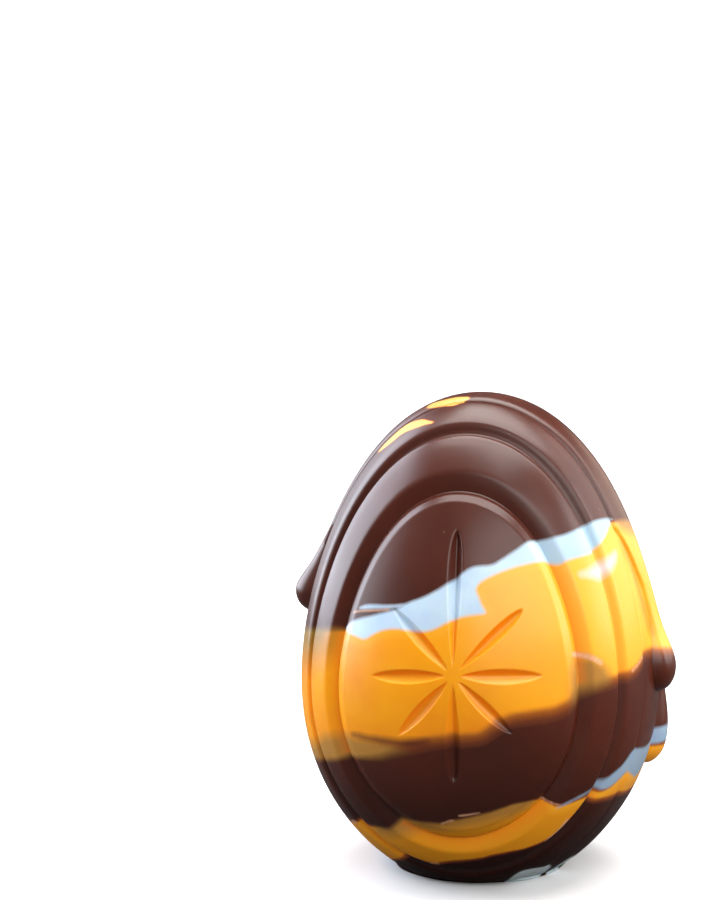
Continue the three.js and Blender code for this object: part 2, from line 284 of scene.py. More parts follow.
# %% White, thin and streaked pours
WHITE_PATCHES = (
    ((-41, 72.9), (-35, 75.6), (-29, 77.1), (-18, 80.2), (-16, 81.6), (-10, 83.5), (-4, 86.1),
     (1, 89.0), (5, 91.1), (8, 92.1), (14, 92.2), (18, 93.9), (23, 96.0), (29, 98.3), (35, 98.1),
     (44, 98.8), (53, 100.2), (62, 101.1), (71, 100.8), (75, 100.2), (71, 99.7), (67, 98.1), (62, 96.2),
     (56, 93.6), (49, 92.9), (42, 92.5), (39, 91.4), (34, 93.1), (29, 92.6), (23, 92.0), (16, 90.4),
     (10, 88.4), (8, 86.4), (9, 84.7), (10, 82.5), (12, 80.2), (10, 80.0), (7, 79.7), (3, 79.1),
     (-1, 77.7), (-5, 75.7), (-9, 74.7), (-15, 74.8), (-18, 75.0), (-23, 74.3), (-27, 72.6),
     (-30, 70.7), (-35, 71.4), (-40, 72.0)),
    ((-35, 78.5), (-32, 79.7), (-28, 80.2), (-23, 80.5), (-17, 81.2), (-14, 82.2), (-15, 80.9),
     (-22, 79.9), (-28, 79.3), (-32, 78.7)),
    ((36, 26.2), (39, 27.5), (43, 28.8), (47, 30.0), (50, 30.9), (52.3, 31.7), (55, 32.7), (58.2, 34.1),
     (62, 35.6), (64.4, 37.2), (66.4, 39.1), (72, 38.2), (80, 36.9), (86, 37.2), (93, 38.0),
     (104, 38.9), (113, 38.5), (120, 36.4), (109, 34.2), (97, 34.2), (88, 31.4), (80, 28.0),
     (73, 30.4), (66, 33.2), (63.7, 32.2), (60, 30.6), (57, 29.8), (54, 29.8), (50, 30.4),
     (47, 29.4), (43, 28.3), (40, 27.2)),
    ((27, 0.9), (29, 4.3), (33, 6.1), (43, 5.9), (47, 5.7), (56, 3.3), (54, -2.0), (30, -2.0)),
    ((62, -2.0), (60, 2.4), (63, 4.3), (65, 5.4), (68, 6.0), (76, 2.8), (76, -2.0)),
    ((126, 92.8), (138, 88.5), (150, 84.3), (160, 78.0), (171, 77.0), (184, 74.2), (196, 76.6),
     (207, 75.2), (216, 78.2), (224, 76.2), (214, 72.8), (204, 70.2), (191, 71.3), (179, 69.2),
     (168, 71.0), (158, 72.3), (149, 77.6), (139, 80.8), (130, 87.2)),
    ((-128, 17.8), (-118, 14.8), (-104, 14.0), (-91, 11.7), (-82, 12.5), (-90, 13.9), (-103, 16.8),
     (-116, 18.2), (-124, 21.4), (-136, 23.8)),
)
MILKY_PATCHES = (         # white that has run into the orange
    ((45, 88.6), (50, 89.1), (54, 90.2), (60, 91.0), (65, 92.0), (68, 92.4), (66, 90.6), (64, 89.4),
     (60, 87.6), (57, 86.6), (54, 86.6), (51, 87.6)),
)
WHITE_LINES = (           # outline of a thin trail, with its half width
    (((-37, 77.2), (-34, 77.9), (-29, 78.6), (-22, 79.5)), 0.05),
    (((42.5, 22.4), (41, 20.0), (39, 17.9), (36.5, 16.2)), 0.3),
    (((3, 24.6), (6.5, 25.1), (10, 25.7)), 0.1),
    (((-3.5, 21.7), (-2, 22.3), (0.5, 23.0)), 0.15),
    (((31, 29.0), (34, 27.8), (38, 27.4)), 0.05),
    (((-51, 15.6), (-49, 16.4), (-47, 16.6)), 0.4),
    (((64, 61.4), (68, 62.6), (71, 64.0)), 0.25),
    (((41, 68.5), (44, 68.0), (47, 67.0), (50, 65.4)), 0.55),
    (((-12.5, 8.1), (-9, 8.3)), 0.15),
)
THIN_PATCHES = (          # orange so thin that the brown shows through as ochre
    ((-76, 28.0), (-66, 35.5), (-56, 38.5), (-44, 43.0), (-34, 44.0), (-27, 44.2), (-21, 44.4),
     (-14, 43.6), (-12, 40.0), (-20, 36.5), (-36, 33.5), (-50, 30.0), (-67, 27.0)),
    ((40, 68.6), (47, 67.0), (52, 64.2), (54, 60.0), (50, 56.0), (43, 54.0), (38, 54.0)),
    ((76, 102.0), (95, 101.0), (112, 97.0), (104, 93.4), (86, 95.2), (76, 97.6)),
    ((-36, 15.0), (-31, 21.0), (-20, 23.5), (-4, 24.5), (3, 26.0), (17, 29.0), (27, 31.0), (31, 27.6),
     (22, 24.6), (10, 22.0), (0, 20.0), (-12, 18.2), (-24, 15.8)),
    ((150, 45.0), (165, 45.0), (180, 43.0), (196, 41.0), (190, 47.5), (176, 50.0), (160, 51.0)),
)
OLIVE_PATCHES = (         # the same, duller, and fading out over a whole centimetre
    ((-112, 59.5), (-71, 59.0), (-58, 60.6), (-50, 63.4), (-46, 66.8), (-44, 72.0), (-46, 76.0),
     (-52, 79.0), (-71, 77.0), (-112, 80.0)),
)
# painted shade: the recessed band beside the icing lies in shade, so it is painted deeper orange
AMBER_SHADE_PATCHES = (         # deeper orange, beside the icing on the right
    ((77, 95.0), (80.5, 88.0), (81.5, 82.0), (84, 74.0), (84, 68.0), (80, 68.0), (78, 78.0),
     (77, 86.0), (74, 94.0)),
)
DARK_PATCHES = (          # smears of brown
    ((-35, 44.6), (-30, 44.9), (-25, 45.1), (-20, 45.3), (-16, 45.5), (-10, 46.2), (-5, 46.4),
     (-8, 43.6), (-15, 43.2), (-20, 43.5), (-25, 43.8), (-30, 43.9)),
)
print("white patches:", len(WHITE_PATCHES), " thin patches:", len(THIN_PATCHES))

# %% [markdown]
# ## How far a vertex lies from an edge
# A distance must be measured along the surface, or an edge near the top would come out squeezed. So a
# height is turned into arc length along the egg's meridian, and a bearing into length along the circle
# at that height. The distance gets a sign: above 0 inside the outline, and below 0 outside it. A signed
# distance is smooth across an edge, so the mesh may be much coarser than the edge looks.

# %% Distance to an outline
ROUNDINGS = 2             # times the corners of an outline are cut


def rounded(points, closed):
    """The outline with its corners cut, so that it runs in curves like a poured edge."""
    points = np.array(points, float)
    for _ in range(ROUNDINGS):
        following = np.roll(points, -1, axis=0)
        pairs = np.stack([0.75 * points + 0.25 * following, 0.25 * points + 0.75 * following], axis=1)
        if closed:
            points = pairs.reshape(-1, 2)
        else:
            points = np.concatenate([points[:1], pairs[:-1].reshape(-1, 2), points[-1:]])
    return points


STEPS = np.linspace(BOTTOM_POLE + 0.001, TOP_POLE - 0.001, 4000)
ARC = np.concatenate([[0], np.cumsum(np.hypot(np.diff(STEPS), np.diff(egg_radius(STEPS))))])
FAR = 12.0                # distances are kept up to this many millimetres
NEAR_BACK = 150           # bearing from which an outline may reach round the back
LAP = 140                 # bearing from which an edge is repeated, so that it closes at the back


def line_distance(points, bearing, z, closed=False):
    """Distance in mm from each vertex to a line of (bearing, height) points."""
    arc, radius = np.interp(z, STEPS, ARC), egg_radius(z)
    b = np.radians(points[:, 0])
    s = np.interp(points[:, 1], STEPS, ARC)
    best = np.full(z.shape, 1e9)
    for i in range(len(points) - (0 if closed else 1)):
        k = (i + 1) % len(points)
        ax, ay = (b[i] - bearing) * radius, s[i] - arc
        ex, ey = (b[k] - b[i]) * radius, s[k] - s[i]
        t = np.clip(-(ax * ex + ay * ey) / np.maximum(ex * ex + ey * ey, 1e-9), 0, 1)
        best = np.minimum(best, np.hypot(ax + t * ex, ay + t * ey))
    return best


def inside(points, bearing, z):
    """True for the vertices that an outline goes round."""
    b = np.radians(points[:, 0])
    crossed = np.zeros(z.shape, bool)
    for i in range(len(points)):
        k = (i + 1) % len(points)
        z1, z2 = points[i][1], points[k][1]
        if z1 != z2:
            at = b[i] + (z - z1) * (b[k] - b[i]) / (z2 - z1)
            crossed ^= ((z1 > z) != (z2 > z)) & (bearing < at)
    return crossed


def patch_reach(points, bearing, z):
    """Distance to the outline of a patch: above 0 inside it, below 0 outside."""
    points = rounded(points, closed=True)
    best = np.full(z.shape, -1e9)
    for turn in (0, -2 * math.pi, 2 * math.pi):   # an outline may run past the back of the egg
        if turn and np.abs(points[:, 0]).max() < NEAR_BACK:
            continue
        far = line_distance(points, bearing + turn, z, closed=True)
        best = np.maximum(best, np.where(inside(points, bearing + turn, z), far, -far))
    return best


def round_the_egg(edge):
    """An edge that goes on past the back on both sides."""
    before = [(b - 360, z) for b, z in edge if b > LAP]
    after = [(b + 360, z) for b, z in edge if b < -LAP]
    return rounded([*before, *edge, *after], closed=False)


def band_reach(top, low, bearing, z):
    """The same for a band, with the distances to its two edges."""
    top, low = round_the_egg(top), round_the_egg(low)
    to_top, to_low = line_distance(top, bearing, z), line_distance(low, bearing, z)
    within = inside(np.concatenate([top, low[::-1]]), bearing, z)
    near = np.minimum(to_top, to_low)
    return np.where(within, near, -near), to_top, to_low


print("length of a meridian:", round(float(ARC[-1]), 1), "mm")

# %% [markdown]
# The distances are kept as attributes, which are numbers that a mesh carries on its vertices. Where
# orange ends against brown, the edge is crisp in one place and blurred over some millimetres in
# another. So the softness of that edge is kept as an attribute as well.

# %% Write the distances on a mesh
# bearing, and half width in mm of the blur: on the upper edge, the lower edge and the lower band
SOFT_TOP = (
    (-180, 0.6), (-95, 1.4), (-45, 1.4), (-38, 0.4), (70, 0.4), (80, 1.2), (120, 0.9), (180, 0.6),
)
SOFT_LOW = (
    (-180, 2.0), (-60, 1.3), (-30, 1.4), (-14, 2.9), (40, 3.0), (60, 2.4), (110, 1.8), (180, 2.0),
)
SOFT_UNDER = (
    (-180, 0.9), (-40, 0.8), (-25, 1.2), (0, 1.0), (30, 0.6), (46, 0.8), (58, 1.4), (180, 1.2),
)
SOFT_PATCH = 0.35


def mark_pours(mesh, on_egg):
    """Gives every vertex its distance to the edge of each pour, in millimetres.

    With on_egg, the vertices are first laid back on the smooth egg, so that an outline runs
    straight through a groove."""
    co = np.empty(len(mesh.vertices) * 3)
    mesh.vertices.foreach_get("co", co)
    co = co.reshape(-1, 3) / MM
    if on_egg:
        normal = egg_normal(co)
        above = np.hypot(co[:, 0], co[:, 1]) - egg_radius(co[:, 2])
        co = co - normal * (above * np.hypot(normal[:, 0], normal[:, 1]))[:, None]
    bearing = np.arctan2(co[:, 0], -co[:, 1])
    z = np.clip(co[:, 2], -2, TOP_POLE - 0.05)
    degrees = np.degrees(bearing)
    soft_top, soft_low, soft_under = (
        np.interp(degrees, *zip(*soft)) for soft in (SOFT_TOP, SOFT_LOW, SOFT_UNDER)
    )
    orange, to_top, to_low = band_reach(ORANGE_BAND_TOP, ORANGE_BAND_LOW, bearing, z)
    soft = np.where(to_top < to_low, soft_top, soft_low)
    low_band, _, _ = band_reach(LOW_BAND_TOP, LOW_BAND_LOW, bearing, z)
    soft = np.where(low_band > orange, soft_under, soft)
    orange = np.maximum(orange, low_band)
    for patch in ORANGE_PATCHES:
        reach = patch_reach(patch, bearing, z)
        soft = np.where(reach > orange, SOFT_PATCH, soft)
        orange = np.maximum(orange, reach)
    white, milky, thin, olive, amber, dark = (
        np.max([patch_reach(p, bearing, z) for p in patches], axis=0)
        for patches in (WHITE_PATCHES, MILKY_PATCHES, THIN_PATCHES, OLIVE_PATCHES, AMBER_SHADE_PATCHES,
                        DARK_PATCHES)
    )
    trails = [wide - line_distance(rounded(p, False), bearing, z) for p, wide in WHITE_LINES]
    fields = {
        "orange_reach": orange, "orange_softness": soft, "white_reach": white, "milky_reach": milky,
        "trail_reach": np.max(trails, axis=0), "thin_reach": thin, "olive_reach": olive,
        "amber_shade_reach": amber, "dark_reach": dark,
    }
    for name, values in fields.items():
        field = mesh.attributes.new(name, "FLOAT", "POINT")
        field.data.foreach_set("value", np.clip(values, -FAR, FAR).astype(np.float32))


blurs = [blur for _, blur in SOFT_LOW]
print("blur of the band's lower edge:", min(blurs), "to", max(blurs), "mm")

# %% [markdown]
# ## The cast body
# The grid of rings becomes the body. A real mould is never perfect, so the surface also swells and
# sinks by a few hundredths of a millimetre, which is what makes a highlight on chocolate look soft and
# a little uneven. Subdividing a coarse egg and displacing it would give the same form. Placing each
# point by formula was chosen because the rows can crowd together where an edge is sharp, and stay wide
# apart where the surface is plain.

# %% Helpers for grids
def row_angles(stretches, first):
    """Ring angles of the rows, from (up to this angle, spacing) stretches."""
    angles = [first]
    for limit, spacing in stretches:
        count = max(1, round((limit - angles[-1]) / spacing))
        angles += list(np.linspace(angles[-1], limit, count + 1)[1:])
    return np.array(angles)


SWELL, RIPPLE = 0.035, 0.010          # height in mm of the slow and of the quicker waves


def unevenness(p):
    """Slow swelling of the surface, in millimetres, from a few crossing waves."""
    x, y, z = p[..., 0], p[..., 1], p[..., 2]
    wave = np.sin(x / 9.1 + 1.3 * np.sin(z / 17.0)) * np.sin(z / 11.3 + y / 13.0)
    fine = np.sin(x / 3.9 + z / 5.7 + 2.0) * np.sin(z / 4.3 - y / 5.1)
    return SWELL * wave + RIPPLE * fine


def grid_faces(height, width, wrap):
    """Four-sided faces of a grid of points, closed round its columns if wrap is set."""
    last = width if wrap else width - 1
    i, j = np.meshgrid(np.arange(height - 1), np.arange(last), indexing="ij")
    k = (j + 1) % width
    return np.stack([i * width + j, i * width + k, (i + 1) * width + k, (i + 1) * width + j], -1)


def fan(centre, ring):
    """Triangles from one point to a closed ring of points."""
    return [(centre, ring[i], ring[(i + 1) % len(ring)]) for i in range(len(ring))]


def finished(name, points, faces):
    """Mesh in metres with its faces turned outwards."""
    mesh = bpy.data.meshes.new(name)
    mesh.from_pydata((points * MM).tolist(), [], faces)
    bm = bmesh.new()
    bm.from_mesh(mesh)
    bmesh.ops.recalc_face_normals(bm, faces=bm.faces[:])
    bm.to_mesh(mesh)
    bm.free()
    return mesh


def mark_painted_hollow_shade(mesh, depth):
    """Keeps how deep each vertex lies in a groove or ray, 0 to 1, for painted shade there."""
    values = np.zeros(len(mesh.vertices), np.float32)
    values[:depth.size] = np.clip(depth, 0, 1).reshape(-1)
    mesh.attributes.new("painted_hollow_shade", "FLOAT", "POINT").data.foreach_set("value", values)


def as_piece(name, mesh, on_egg=True):
    """Object with smooth shading and its pour distances."""
    mesh.polygons.foreach_set("use_smooth", np.ones(len(mesh.polygons), bool))
    mark_pours(mesh, on_egg)
    piece = bpy.data.objects.new(name, mesh)
    bpy.context.collection.objects.link(piece)
    print(name, "triangles:", sum(len(p.vertices) - 2 for p in mesh.polygons))
    return piece


print("unevenness, for one point:", round(float(unevenness(np.array([10.0, -40.0, 60.0]))), 4), "mm")

# %% Points of the body
BODY_COLUMNS = 400
BODY_ROWS = (             # up to this ring angle, rows this many degrees apart
    (41.5, 6.7), (48.2, 0.3), (55.4, 0.8), (61.6, 0.25), (69.6, 0.9), (72.6, 0.22), (90, 1.3),
)
FIRST_ROW = 1.0
# grooves in the body are painted a deeper orange from this depth on: painted shade
GROOVE_START, GROOVE_FULL = -0.8, 4.0     # height where a hollow starts, and depth of a full one, in mm
half = row_angles(BODY_ROWS, FIRST_ROW)
rows = np.concatenate([half, 180 - half[-2::-1]])
turn_grid, angle_grid = np.meshgrid(np.arange(BODY_COLUMNS) * 2 * math.pi / BODY_COLUMNS, rows)
smooth = ring_points(turn_grid, angle_grid)
body_points = lift(smooth, ring_relief(angle_grid) + unevenness(smooth))
deep = egg_radius(RING_CENTRE) + POCKET
poles = np.array([[0, -deep, RING_CENTRE], [0, deep, RING_CENTRE]])
body_faces = grid_faces(len(rows), BODY_COLUMNS, True).reshape(-1, 4).tolist()
count = rows.size * BODY_COLUMNS
body_faces += fan(count, list(range(BODY_COLUMNS)))
body_faces += fan(count + 1, list(range(count - BODY_COLUMNS, count)))
body_mesh = finished("egg_body", np.concatenate([body_points.reshape(-1, 3), poles]), body_faces)
mark_painted_hollow_shade(body_mesh, (GROOVE_START - ring_relief(angle_grid)) / GROOVE_FULL)
print("rows:", rows.size, " faces:", len(body_faces))

# %% [markdown]
# ## The medallions
# A medallion is made like the body, from a grid of its own that is twice as fine and has the star
# pushed in. It could be cut out of the body's grid, but then the whole egg would have to be as fine.
# It ends in a point deep inside the body, so it is a closed form. The share of depth kept on each
# vertex paints orange deeper in the rays: painted shade, standing in for the light caught in them.
# It is largest on walls that face down, which get no light from above.

# %% Medallions with their stars
MEDALLION_COLUMNS = 880
MEDALLION_ROWS = ((36.8, 0.54), (44.0, 0.24), (44.8, 0.4))
FIRST_MEDALLION_ROW = 0.6
PLUG_DEPTH = 14.0         # how deep the hidden end of a medallion sits in the body
WALL_SPAN = 0.5           # height in mm over which the slope of a wall is taken
# the rays get the same deeper orange: painted shade and the light caught in them
DEPTH_GLOW, WALL_GLOW = 0.3, 1.2      # share for each mm of depth, and for each unit of slope
RECESS_START, RECESS_FULL = -1.4, 3.0


def medallion(name, side):
    """Medallion with its star: side is 1 for the front, -1 for the back."""
    angles = row_angles(MEDALLION_ROWS, FIRST_MEDALLION_ROW)
    turns = np.arange(MEDALLION_COLUMNS) * 2 * math.pi / MEDALLION_COLUMNS
    turn_grid, angle_grid = np.meshgrid(turns, angles)
    smooth = ring_points(turn_grid, angle_grid)
    star = star_depth(smooth[..., 0] * side, smooth[..., 2])
    relief = medallion_relief(turn_grid, angle_grid)
    smooth[..., 1] *= side
    points = lift(smooth, relief - star + unevenness(smooth)).reshape(-1, 3)
    front = egg_radius(RING_CENTRE) + MEDALLION_SECTION[0][1]
    ends = np.array([[0, -side * front, RING_CENTRE], [0, -side * (front - PLUG_DEPTH), RING_CENTRE]])
    faces = grid_faces(angles.size, MEDALLION_COLUMNS, True).reshape(-1, 4).tolist()
    count = len(points)
    faces += fan(count, list(range(MEDALLION_COLUMNS)))
    faces += fan(count + 1, list(range(count - MEDALLION_COLUMNS, count)))
    mesh = finished(name, np.concatenate([points, ends]), faces)
    x, z = smooth[..., 0] * side, smooth[..., 2]
    below, above = star_depth(x, z - WALL_SPAN / 2), star_depth(x, z + WALL_SPAN / 2)
    in_ray = DEPTH_GLOW * star + WALL_GLOW * (below - above) / WALL_SPAN
    mark_painted_hollow_shade(mesh, np.maximum(in_ray, (RECESS_START - relief) / RECESS_FULL))
    return as_piece(name, mesh)


medallion_front, medallion_back = medallion("medallion_front", 1), medallion("medallion_back", -1)

# %% [markdown]
# ## The foot
# The lower tip is ground flat, and a rim of chocolate that ran out of the mould stays round it. So the
# tip of the mesh is cut off, and the open edge is drawn down to the table in a few loops. A separate
# disc under the egg would be quicker, but would leave a hard line where the two meet. The rim isn't a
# true circle: it stands out at the left of the front, and is tucked in at the right.

# %% Cut the tip and draw the foot down
FOOT_CUT = 1.5            # height at which the tip is cut off
ON_THE_CUT = 1e-7         # vertices as near to the cut as this, in metres, lie on it
FOOT_RADIUS = 24.0
FOOT_BULGES = (           # bearing, spread in degrees, how far the rim stands out there
    (-50, 15, 0.5), (-88, 14, -0.6), (18, 26, -1.0), (108, 22, 1.0), (172, 30, 0.5),
)
FOOT_LOOPS = (            # height, share of the way out to the rim, set back from the rim
    (1.15, 0.55, 0.0), (0.8, 0.95, 0.0), (0.45, 1.0, 0.0), (0.18, 1.0, 0.12), (0.04, 1.0, 0.38),
    (0.0, 1.0, 0.75), (0.0, 1.0, 6.0),
)


def foot_rim(bearing):
    """Radius of the foot's rim at a bearing in degrees."""
    out = FOOT_RADIUS
    for at, spread, amount in FOOT_BULGES:
        off = (bearing - at + 180) % 360 - 180
        out += amount * math.exp(-((off / spread) ** 2))
    return out


bm = bmesh.new()
bm.from_mesh(body_mesh)
bmesh.ops.bisect_plane(
    bm, geom=bm.verts[:] + bm.edges[:] + bm.faces[:], dist=ON_THE_CUT,
    plane_co=(0, 0, FOOT_CUT * MM), plane_no=(0, 0, 1), clear_inner=True)
edge_loop = [e for e in bm.edges if e.is_boundary]
cut_radius = bm.verts.layers.float.new("cut_radius")
for v in {v for e in edge_loop for v in e.verts}:
    v[cut_radius] = v.co.xy.length
for height, share, set_back in FOOT_LOOPS:
    made = bmesh.ops.extrude_edge_only(bm, edges=edge_loop)["geom"]
    edge_loop = [g for g in made if isinstance(g, bmesh.types.BMEdge) and g.is_boundary]
    for v in {v for e in edge_loop for v in e.verts}:
        bearing = math.atan2(v.co.x, -v.co.y)
        rim = foot_rim(math.degrees(bearing)) * MM
        out = v[cut_radius] + (rim - v[cut_radius]) * share - set_back * MM
        v.co = (out * math.sin(bearing), -out * math.cos(bearing), height * MM)
bm.verts.layers.float.remove(cut_radius)
middle = bm.verts.new((0, 0, 0))
for e in edge_loop:
    bm.faces.new((e.verts[0], e.verts[1], middle))
bmesh.ops.recalc_face_normals(bm, faces=bm.faces[:])
# the cut leaves its faces in an order of its own each time, so they are put in one fixed order
bm.verts.index_update()
total = len(bm.verts)
bm.faces.sort(key=lambda face: face.verts[0].index * total + face.verts[1].index)
bm.to_mesh(body_mesh)
bm.free()
body = as_piece("egg_body", body_mesh)

# %% [markdown]
# ## The icing
# A coat of icing lies on the side band, over the top of the egg, and ends in two drips on each side
# that swell into balls. It could be modelled with metaballs or sculpted. Here it is a sheet over the
# same kind of grid: each shape gives a thickness for every place, and a soft maximum joins them, so
# the drips grow out of the belt with a small fillet. Outside its edge the sheet dives into the body.

# %% Shapes of the icing
BELT_THICKNESS = 0.78
BELT_EDGE = 72.75         # ring angle of the belt's edge
BELT_ROUNDING = 1.15      # width of its rounded edge, in mm
STEEPEST = 2.6            # rise over run where a bead meets the body
JOIN_SOFTNESS = 0.22      # size of the fillet between two shapes
CROWN, CROWN_REACH = 0.10, 9          # the belt's middle is this much thicker, reached this far in
END_LEAN = 0.9            # the belt's ends slope, so their distance is a little less than their height
LEAST_RADIUS = 20         # keeps the belt's edge from closing up at the poles
# the belt's lower ends: ring angle from the front's edge to the back's, and height
END_RIGHT = (
    (70, 101.4), (72.5, 98.4), (74.8, 95.3), (77.6, 90.4), (79.4, 85.6), (82, 81.0), (88, 79.0),
    (96, 80.6), (99.5, 82.2), (103, 81.0), (108, 86.0),
)
END_LEFT = (
    (72, 96.5), (77, 92.5), (82, 89.4), (88, 88.0), (95, 89.5), (98.5, 91.0), (103, 89.4), (108, 93.5),
)
# bearing, height of the ball's middle and of the drip's top, radius and thickness of the ball, half
# width and thickness of the neck, half width at the top, and how soon the neck gets thinner
DRIP_MEASURES = ("bearing", "ball", "top", "radius", "thick", "neck", "neck_thick", "flare", "fade")
DRIPS = [dict(zip(DRIP_MEASURES, values)) for values in (
    (89.5, 58.4, 92.8, 7.1, 5.0, 4.6, 2.3, 7.2, 0.4),
    (107, 34.0, 90.8, 7.0, 5.4, 3.1, 1.8, 6.5, 0.5),
    (-89, 75.6, 99.8, 6.1, 5.7, 4.2, 4.2, 9.5, 1.0),
    (-105, 52.8, 98.8, 6.5, 4.3, 3.0, 2.3, 6.5, 0.6),
)]
SWELL_SHARE = 0.24        # share of a drip's run over which the ball swells
LEAST_THICK = 0.5
TOP_FALL = 2.0            # how steeply a drip dives into the belt above its top


def bead(u, width, thick):
    """Height of a rounded bead. u is 0 on its middle line and 1 at its edge."""
    q = STEEPEST * width / thick
    bend = q / np.sqrt(1 + q * q)
    round_part = np.sqrt(np.maximum(0, 1 - np.minimum(u, bend) ** 2))
    return thick * round_part - STEEPEST * width * np.maximum(0, u - bend)


def smooth_step(t):
    """Rise from 0 to 1 without a corner at either end."""
    t = np.clip(t, 0, 1)
    return t * t * (3 - 2 * t)


def drip_height(spec, bearing, z):
    """Height of one drip above the side band."""
    across = (np.degrees(bearing) - spec["bearing"]) * math.pi / 180 * egg_radius(z)
    low = (z - spec["ball"]) / spec["radius"]
    ball = bead(np.hypot(across / spec["radius"], low), spec["radius"], spec["thick"])
    t = np.clip((z - spec["ball"]) / (spec["top"] - spec["ball"]), 0, 1)
    swell = np.exp(-((t / SWELL_SHARE) ** 2))
    flare = smooth_step((t - 0.5) / 0.5)
    neck, neck_thick = spec["neck"], spec["neck_thick"]
    width = neck + (spec["radius"] - neck) * swell + (spec["flare"] - neck) * flare
    thick = neck_thick * (1 - t) ** spec["fade"] + (spec["thick"] - neck_thick) * swell
    thick = np.maximum(thick, LEAST_THICK)
    tail = bead(np.abs(across) / width, width, thick)
    tail = tail - TOP_FALL * np.maximum(0, z - spec["top"])
    return np.where(z < spec["ball"], ball, tail)


def belt_height(angle, bearing, z):
    """Height of the belt above the side band."""
    right = bearing > 0
    end = np.where(right, np.interp(angle, *zip(*END_RIGHT)), np.interp(angle, *zip(*END_LEFT)))
    radius = np.maximum(egg_radius(z), LEAST_RADIUS)
    edge = (np.minimum(angle, 180 - angle) - BELT_EDGE) * math.pi / 180 * radius
    off = np.minimum(edge, (z - end) * END_LEAN)
    u = 1 - off / BELT_ROUNDING
    crown = CROWN * smooth_step(off / CROWN_REACH)
    return bead(np.maximum(u, 0), BELT_ROUNDING, BELT_THICKNESS) + crown


def soft_maximum(values, softness):
    """The greatest of the values, with a fillet where two of them cross."""
    top = np.max(values, axis=0)
    return top + softness * np.log(sum(np.exp((v - top) / softness) for v in values))


print("drips:", len(DRIPS))

# %% [markdown]
# The sheet is a grid again, but its points lie half a millimetre apart, since the beads are small and
# steep. It runs up the right side, over the top and down the left side. Most of it would be buried, so
# only the cells that come near the surface are kept. A second layer, deep inside the body, and a wall
# along the rim then close it, because a thin open sheet can't be printed or weighed.

# %% Sheet of icing
ICING_STEP = 0.5          # spacing of the sheet's points, in mm
ICING_ANGLES = (70.5, 119.0)
ICING_LOW_RIGHT = 16.0    # the sheet starts this high on the right side
ICING_LOW_LEFT = 34.0     # and ends this high on the left
KEEP_DEPTH = 0.9          # cells deeper than this inside the body are dropped
SINK_DEPTH = 1.2          # the sheet never lies further than this below that
ROOT_DEPTH = 3.4          # the sheet's underside, below the smooth egg
GROUND_FLOOR = -1.2       # the groove is taken as no deeper than this under the icing
ICING_SWELL = 1.5         # icing is this much more uneven than the cast body
BAND_RADIUS = 48          # turns the spacing into degrees
PATH_SAMPLES = 3000


def turn_at(z):
    """Turn at which the right side of the egg's outline has a height."""
    return math.acos(1 - (z - BOTTOM_POLE) / (LENGTH / 2))


path_turns = np.linspace(turn_at(ICING_LOW_RIGHT), 2 * math.pi - turn_at(ICING_LOW_LEFT), PATH_SAMPLES)
path_x, path_z = outline_at(path_turns)
path = np.concatenate([[0], np.cumsum(np.hypot(np.diff(path_x), np.diff(path_z)))])
even = np.interp(np.arange(0, path[-1], ICING_STEP), path, path_turns)
across = np.arange(*ICING_ANGLES, math.degrees(ICING_STEP / BAND_RADIUS))
t_grid, a_grid = np.meshgrid(even, across)
icing_base = ring_points(t_grid, a_grid)
icing_bearing = np.arctan2(icing_base[..., 0], -icing_base[..., 1])
icing_z = icing_base[..., 2]
shapes = [belt_height(a_grid, icing_bearing, icing_z)]
shapes += [drip_height(spec, icing_bearing, icing_z) for spec in DRIPS]
height = BAND_LEVEL + soft_maximum(np.array(shapes), JOIN_SOFTNESS)
height = height + ICING_SWELL * unevenness(icing_base)
ground = np.maximum(ring_relief(a_grid), GROUND_FLOOR)
shown = height > ground - KEEP_DEPTH
height = np.maximum(height, ground - KEEP_DEPTH - SINK_DEPTH)
print("sheet:", even.size, "by", across.size, "points")

# %% Close the sheet into a solid coat
quads = grid_faces(across.size, even.size, False).reshape(-1, 4)
quads = quads[shown.reshape(-1)[quads].any(axis=1)]
top_points = lift(icing_base, height).reshape(-1, 3)
root_points = lift(icing_base, np.full(a_grid.shape, -ROOT_DEPTH)).reshape(-1, 3)
used, index = np.unique(quads, return_inverse=True)
index = index.reshape(quads.shape)
count = used.size
edges = np.concatenate([index[:, [a, (a + 1) % 4]] for a in range(4)])
pairs, times = np.unique(np.sort(edges, axis=1), axis=0, return_counts=True)
rim_pairs = {tuple(p) for p in pairs[times == 1].tolist()}
rim = [e for e in edges.tolist() if tuple(sorted(e)) in rim_pairs]
icing_faces = [f[::-1] for f in index.tolist()]
icing_faces += (index + count).tolist()
icing_faces += [(a, b, b + count, a + count) for a, b in rim]
icing_points = np.concatenate([top_points[used], root_points[used]])
icing = as_piece("icing", finished("icing", icing_points, icing_faces), on_egg=False)

# %% [markdown]
# ## One body
# All pieces are the same chocolate and can't move apart, so they ride on the one body of the frame and
# stand for its one solid.

# %% Tie the pieces to the frame
for piece in (body, medallion_front, medallion_back, icing):
    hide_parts("chocolate_egg")
    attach(piece, "root")

# %% [markdown]
# ## Building a material in code
# A material is a tree of nodes, with links from the outputs of one to the inputs of the next. It is
# usually drawn in the node editor. In code the same tree takes many lines, so the few patterns that
# come back most often get a helper: a node with its values, some links, a group with its sockets, a
# rise between two values, a product with a sum, and noise.

# %% Helpers for node trees
def node(tree, kind, **values):
    """Adds a node and sets its properties and the defaults of its sockets."""
    made = tree.nodes.new(kind)
    for key, value in values.items():
        if key in made.inputs:
            made.inputs[key].default_value = value
        else:
            setattr(made, key, value)
    return made


def wire(tree, *pairs):
    """Links each pair of an output and an input."""
    for source, target in pairs:
        tree.links.new(source, target)


